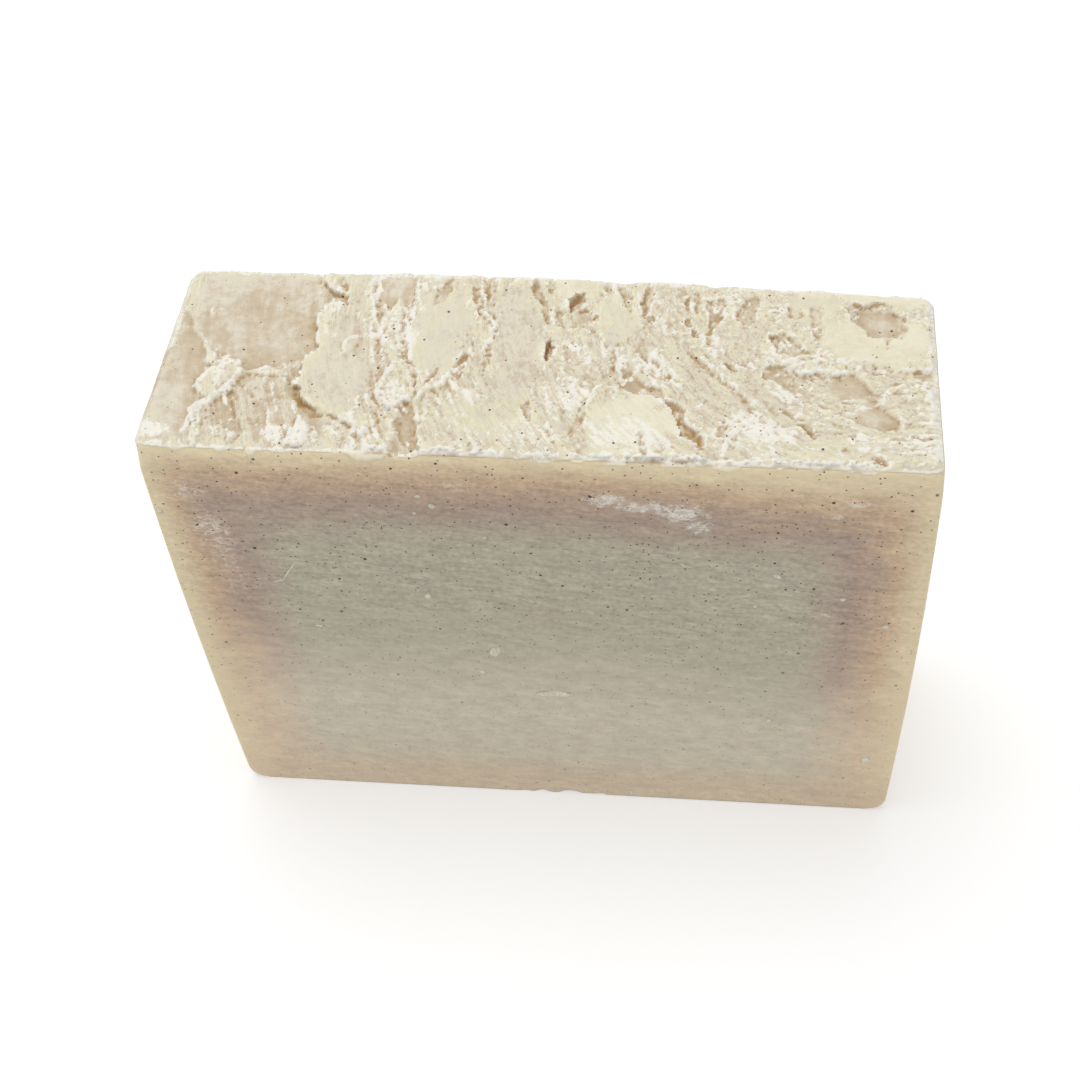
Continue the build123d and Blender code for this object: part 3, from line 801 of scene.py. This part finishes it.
def cut_face_colour(add, places, from_end, colours):
    """Soap as it gelled: a cream skin, a brownish ring and a grey core, paler low in the loaf."""
    axes = add("SeparateXYZ", {0: places}).node.outputs

    # Slow swirls of the poured soap, about 9 mm across, that bend everything drawn out along the bar
    wobble = add("TexNoise", {"Vector": places, "Scale": 1 / 9, "Detail": 3.0})
    swirl = add("Math", (wobble, 7.0, axes[2]), "MULTIPLY_ADD")
    poured = add("CombineXYZ", (axes[0], axes[1], swirl))
    # Its streaks are 14 mm long and 2 mm high
    wide = add("Mapping", {0: poured, "Scale": (0.07, 0.3, 0.5)})
    streaks = add("TexNoise", {"Vector": wide, "Scale": 1.0, "Detail": 5.0, "Roughness": 0.55})

    # What the cutter dragged slopes down to the right by 0.1 of its run: scratches, their thin lines, and
    # smudges, with their sizes along X, Y and Z in millimetres
    sloped = add("Math", (axes[0], 0.1, axes[2]), "MULTIPLY_ADD")
    sloped = add("Math", (wobble, 2.5, sloped), "MULTIPLY_ADD")
    dragged = add("CombineXYZ", (axes[0], axes[1], sloped))
    patterns = []
    for sizes, detail in (((3.0, 0.5, 0.7), 2.5), ((3.5, 1.2, 0.7), 2.0), ((2.2, 2.2, 1.2), 3.0)):
        drawn = add("Mapping", {0: dragged, "Scale": [1 / size for size in sizes]})
        patterns.append(add("TexNoise", {"Vector": drawn, "Scale": 1.0, "Detail": detail, "Roughness": 0.6}))
    drag, lines, smudges = patterns

    # How far the soap lies from the cool sides of the loaf. The upper one cooled deeper at the right
    from_crust = add("Math", (usual_crust, axes[2]), "SUBTRACT")
    deeper = add("MapRange", (axes[0], 0.0, 30.0, 0.0, 1.8))
    cooled = add("Math", (from_crust, deeper), "SUBTRACT")
    nearest = add("Math", (from_end, cooled, 5.0), "SMOOTH_MIN")
    # The skin itself stays even, and the swirls grow from it inwards, to 3 and 2.5 mm either way
    swirled = add("Math", (wobble, 6.0, -3.0), "MULTIPLY_ADD")
    drawn = add("Math", (streaks, 5.0, -2.5), "MULTIPLY_ADD")
    both = add("Math", (swirled, drawn), "ADD")
    growth = add("MapRange", (nearest, 0.0, 6.0))
    inward = add("Math", (both, growth, nearest), "MULTIPLY_ADD")
    reach = add("Math", (inward, gelled_depth), "DIVIDE", use_clamp=True)
    upper = add("ValToRGB", {0: reach}, stops=(
        (0.0, colours.skin), (0.06, colours.skin), (0.2, colours.under_skin), (0.42, colours.ring),
        (0.7, colours.core)))
    lower = add("ValToRGB", {0: reach}, stops=(
        (0.0, colours.skin), (0.05, colours.skin), (0.25, colours.base), (0.6, colours.low_core)))
    rise = add("Math", (streaks, 16.0, axes[2]), "MULTIPLY_ADD")
    lifted = add("MapRange", (axes[0], 5.0, 25.0, 0.0, 3.5))
    rise = add("Math", (rise, lifted), "ADD")
    low = add("MapRange", (rise, 46.0, 25.0), **SOFT)
    bottom = add("MapRange", {0: axes[2], 1: 10.0, 2: 3.0, 4: 0.7}, **SOFT)
    # Smudges are browner or greyer than the soap around them, but not in the skin
    stained = add("MapRange", {0: smudges, 1: 0.45, 2: 0.75, 4: 0.3})
    stained = add("Math", (stained, growth), "MULTIPLY")
    colour = upper
    for share, over in ((low, lower), (bottom, colours.base), (stained, colours.ring)):
        colour = add("Mix", {0: share, FIRST: colour, SECOND: over}, output=MIXTURE, data_type="RGBA")

    # Mottling, 0.6 mm across, and scratches, each a thin dark line with a pale one beside it, 0.1 mm wide
    mottle = add("TexNoise", {"Vector": places, "Scale": 1.6, "Detail": 2.0, "Roughness": 0.6})
    shade = add("Math", (mottle, drag), "ADD")
    shade = add("Math", (shade, 1.0), "SUBTRACT")
    for level, depth in ((0.5, -0.22), (0.57, 0.16)):
        mark = thin_lines(add, lines, level, 0.03, depth, 0.0)
        shade = add("Math", (shade, mark), "ADD")
    # The cutter scratched the upper half most, and the skin is more even than the soap inside it
    scratched = add("MapRange", (rise, 35.0, 51.0, 0.2, 0.62), **SOFT)
    cut = add("MapRange", (nearest, 0.0, 4.5, 0.3, 1.0))
    scratched = add("Math", (scratched, cut), "MULTIPLY")
    shade = add("Math", (shade, scratched, 1.0), "MULTIPLY_ADD")
    # Some smudges are pale, soap dried palest next to the crust, and light from the floor reaches the base
    for place, full, none, paleness in (
        (smudges, 0.25, 0.45, 1.08), (from_crust, 0.5, 3.5, 1.12), (axes[2], 1.0, 3.0, 1.06)
    ):
        pale = add("MapRange", (place, full, none, paleness, 1.0))
        shade = add("Math", (shade, pale), "MULTIPLY")
    return add("VectorMath", {0: colour, "Scale": shade}, "SCALE"), drag


def crust_colour(add, places, colours):
    """Torn crust: cream where it is proud, tan in the hollows, white on thin edges, brown in the cracks. The
    white on thin edges is partly painted highlight, and the brown in the cracks and pits partly painted
    shade.
    """
    tone, ash_and_highlight, crevice_brown_and_shade, rough = (
        add("Attribute", output="Fac", attribute_name=name) for name in ("tone", "ash_and_highlight", "crevice_brown_and_shade", "rough")
    )
    # Streaks circle around the same point as those of the relief, 0.4 mm wide and 3 mm long. So do the seams
    # between the threads that rough crust tore into, 0.8 mm apart and 4 mm long
    centred = add("VectorMath", (places, (*streak_centre, 0)), "SUBTRACT")
    axes = add("SeparateXYZ", {0: centred}).node.outputs
    flat = add("CombineXYZ", (axes[0], axes[1]))
    across = add("VectorMath", {0: flat}, "LENGTH", output="Value")
    turn = add("Math", (axes[1], axes[0]), "ARCTAN2")
    circled = add("CombineXYZ", (across, turn))
    patterns = []
    for width, length, detail in ((0.4, 3.0, 6.0), (0.8, 4.0, 4.0)):
        drawn = add("Mapping", {0: circled, "Scale": (1 / width, streak_radius / length, 1)})
        patterns.append(add("TexNoise", {"Vector": drawn, "Scale": 1.0, "Detail": detail, "Roughness": 0.65}))
    streaks, seams = patterns
    # Mottling 0.8 mm across, and crumbs 0.4 mm across
    mottle, crumbs = (
        add("TexNoise", {"Vector": places, "Scale": to_the_mm, "Detail": detail, "Roughness": 0.75})
        for to_the_mm, detail in ((1.3, 8.0), (2.6, 6.0))
    )

    # Rough crust is streaked and mottled more strongly than smooth crust
    toned = tone
    for pattern, more, least in ((streaks, 2.4, 0.3), (mottle, 1.6, 2.2)):
        varied = add("Math", (pattern, 0.5), "SUBTRACT")
        strength = add("Math", (rough, more, least), "MULTIPLY_ADD")
        toned = add("Math", (varied, strength, toned), "MULTIPLY_ADD")
    toned = add("MapRange", (toned, -1.3, 1.7))
    colour = add("ValToRGB", {0: toned}, stops=(
        (0.0, colours.pale), (0.27, colours.cream), (0.5, colours.crust), (0.72, colours.tan),
        (1.0, colours.damp)))
    # Painted shade: thin lines of damp soap colour in the seams between the threads
    seam_shade = thin_lines(add, seams, 0.5, 0.026, 0.7, 0.0)
    strength = add("MapRange", (rough, 0.2, 1.0, 0.15, 1.0))
    seam_shade = add("Math", (seam_shade, strength), "MULTIPLY")

    # Ash lies thickest on the crumbs and streaks
    worn = add("Math", (crumbs, 1.3, -0.65), "MULTIPLY_ADD")
    streaky = add("Math", (streaks, 0.5), "SUBTRACT")
    worn = add("Math", (streaky, 1.1, worn), "MULTIPLY_ADD")
    worn = add("Math", (worn, ash_and_highlight), "ADD")
    worn = add("MapRange", (worn, 0.35, 0.6), **SOFT)
    # Seams and cracks are partly painted shade, and the white on thin edges partly painted highlight
    for share, over in ((seam_shade, colours.damp), (worn, colours.ash_and_highlight), (crevice_brown_and_shade, colours.crevice_brown_and_shade)):
        colour = add("Mix", {0: share, FIRST: colour, SECOND: over}, output=MIXTURE, data_type="RGBA")
    relief = add("Math", (streaks, crumbs), "ADD")
    return colour, add("Math", (relief, 2.0), "MULTIPLY")


def cold_process_soap(colours):
    """Cold-process soap, cured: waxy and faintly see-through, with a satin cut face and a dry, matt crust."""
    material, shade, add = new_material("cold-process soap")
    local = add("TexCoord", output="Object")
    places = add("VectorMath", {0: local, "Scale": 1 / MM}, "SCALE")
    on_crust, scuffed = (add("Attribute", output="Fac", attribute_name=name) for name in ("crust", "scuff"))
    axes = add("SeparateXYZ", {0: places}).node.outputs
    middle = add("Math", {0: axes[0]}, "ABSOLUTE")
    from_end = add("Math", (cad_bounds[1][0] / MM, middle), "SUBTRACT")
    cut_colour, drag = cut_face_colour(add, places, from_end, colours)
    torn_colour, torn_relief = crust_colour(add, places, colours)

    # Torn, curled threads in the scuffs, 0.1 mm thick and about 1 mm long
    slanted = add("Mapping", {0: places, "Rotation": (0, -0.5, 0), "Scale": (1 / 1.3, 1 / 1.3, 1 / 0.7)})
    threads = add("TexNoise", {"Vector": slanted, "Scale": 1.0, "Detail": 3.0, "Roughness": 0.6})
    thread = thin_lines(add, threads, 0.5, 0.055, 1.4, 0.6)
    torn = add("Math", (scuffed, thread), "MULTIPLY")
    torn = add("MapRange", {0: torn, 1: 0.3, 2: 0.9, 4: 0.85}, **SOFT)
    torn = add("Math", (torn, scuffed), "MULTIPLY")
    layers = [(on_crust, torn_colour), (torn, colours.ash_and_highlight)]

    # Most specks floated up towards the crust, and the skin of the ends half covers them
    floated = add("MapRange", (axes[2], 15.0, 48.0, 0.35, 0.95))
    bare = add("MapRange", (from_end, 0.3, 1.2, 0.4, 1.0))
    floated = add("Math", (floated, bare), "MULTIPLY")
    for kind in speck_kinds:
        specks = speck_share(add, places, on_crust, *kind)
        layers.append((add("Math", (specks, floated), "MULTIPLY"), colours.speck))

    colour = cut_colour
    for share, over in layers:
        colour = add("Mix", {0: share, FIRST: colour, SECOND: over}, output=MIXTURE, data_type="RGBA")
    relief = add("Mix", {0: on_crust, 2: drag, 3: torn_relief}, data_type="FLOAT")
    # Soap's usual index of refraction. Light goes into it by about a millimetre
    shade({
        "Base Color": colour, "Roughness": add("MapRange", {0: on_crust, 3: 0.46, 4: 0.8}), "IOR": 1.46,
        "Specular IOR Level": 0.4, "Subsurface Weight": 0.15, "Subsurface Radius": (1.0, 0.75, 0.45),
        "Subsurface Scale": 1.2 * MM,
        "Normal": add("Bump", {"Strength": 0.5, "Distance": 0.2 * MM, "Height": relief}),
    })
    return material


# The camera, in millimetres and degrees, found from the six corners of the bar in the photograph
camera_place = (20.53, -128.66, 187.21)
camera_target = (-2.02, 0.0, 34.5)
camera_roll = 5.47
camera_lens = 55.87

# The softbox hangs behind the bar, to the left. The world fills the shadows
lamp_place = (-0.12, 0.12, 0.9)
lamp_target = (0, 0, 0.03)
lamp_width = 0.6
lamp_power = 3.3
world_light = 0.6

# What the floor seems to give off, to be white where nothing shades it
floor_glow = 0.36


class SOAP_OT_add_stage(bpy.types.Operator):
    """Add the floor, the studio light and the camera"""

    bl_idname = "soap.add_stage"
    bl_label = "Add the stage"

    def execute(self, context):
        deselect_all()
        bpy.ops.mesh.primitive_plane_add(size=6)
        floor = context.object
        floor.name = "floor"
        floor.data.materials.append(matt_board(context.scene.soap_colours.floor))

        world = bpy.data.worlds.new("studio")
        world.use_nodes = True
        add = partial(add_node, world.node_tree)
        strength = add("MapRange", {0: seen(add), 3: world_light, 4: 1.0})
        background = world.node_tree.nodes["Background"]
        feed(world.node_tree, background, {"Color": (1, 1, 1, 1), "Strength": strength})
        context.scene.world = world

        bpy.ops.object.light_add(type="AREA", location=lamp_place)
        lamp = context.object
        lamp.name = "softbox"
        lamp.data.shape = "DISK"
        lamp.data.size = lamp_width
        lamp.data.energy = lamp_power
        aim(lamp, Vector(lamp_target), 0)

        bpy.ops.object.camera_add(location=Vector(camera_place) * MM)
        camera = context.object
        camera.name = "camera"
        camera.data.lens = camera_lens
        camera.data.sensor_width = 36
        camera.data.clip_start = 0.01
        aim(camera, Vector(camera_target) * MM, camera_roll)
        context.scene.camera = camera
        context.scene.view_settings.view_transform = "Standard"
        return {"FINISHED"}


def aim(thing, target, roll):
    """Points a camera or lamp at the target, turned clockwise about its line of sight, in degrees."""
    sight = (target - thing.location).to_track_quat("-Z", "Y").to_matrix()
    thing.rotation_euler = (sight @ Matrix.Rotation(math.radians(-roll), 3, "Z")).to_euler()


def seen(add):
    """Is 1 where the camera sees a surface, also mirrored or through something, and 0 for its light."""
    rays = add("LightPath").node.outputs
    direct = add("Math", (rays["Is Camera Ray"], rays["Is Glossy Ray"]), "MAXIMUM")
    return add("Math", (direct, rays["Is Transmission Ray"]), "MAXIMUM")


def matt_board(colour):
    """Matt painted board. The camera sees it lit up to white where nothing shades it."""
    material, shade, add = new_material("matt painted board")
    lit = add("Math", (seen(add), floor_glow), "MULTIPLY")
    shade({
        "Base Color": colour, "Roughness": 0.9, "Emission Color": (1, 1, 1, 1), "Emission Strength": lit,
    })
    return material


class SOAP_PT_panel(bpy.types.Panel):
    bl_label = "Soap"
    bl_idname = "SOAP_PT_panel"
    bl_space_type = "VIEW_3D"
    bl_region_type = "UI"
    bl_category = "Soap"

    def draw(self, context):
        for group in (context.scene.soap_sizes, context.scene.soap_colours):
            for name in group.__annotations__:
                self.layout.prop(group, name)
        for operator in operators:
            self.layout.operator(operator.bl_idname)


operators = (SOAP_OT_add_bar, SOAP_OT_add_crumbs, SOAP_OT_add_stage)
classes = (SoapSizes, SoapColours, *operators, SOAP_PT_panel)


def register():
    for cls in classes:
        bpy.utils.register_class(cls)
    bpy.types.Scene.soap_sizes = PointerProperty(type=SoapSizes)
    bpy.types.Scene.soap_colours = PointerProperty(type=SoapColours)


def unregister():
    del bpy.types.Scene.soap_colours
    del bpy.types.Scene.soap_sizes
    for cls in reversed(classes):
        bpy.utils.unregister_class(cls)


def main():
    register()
    bpy.ops.soap.add_bar()
    bpy.ops.soap.add_crumbs()
    bpy.ops.soap.add_stage()


if __name__ == "__main__":
    main()
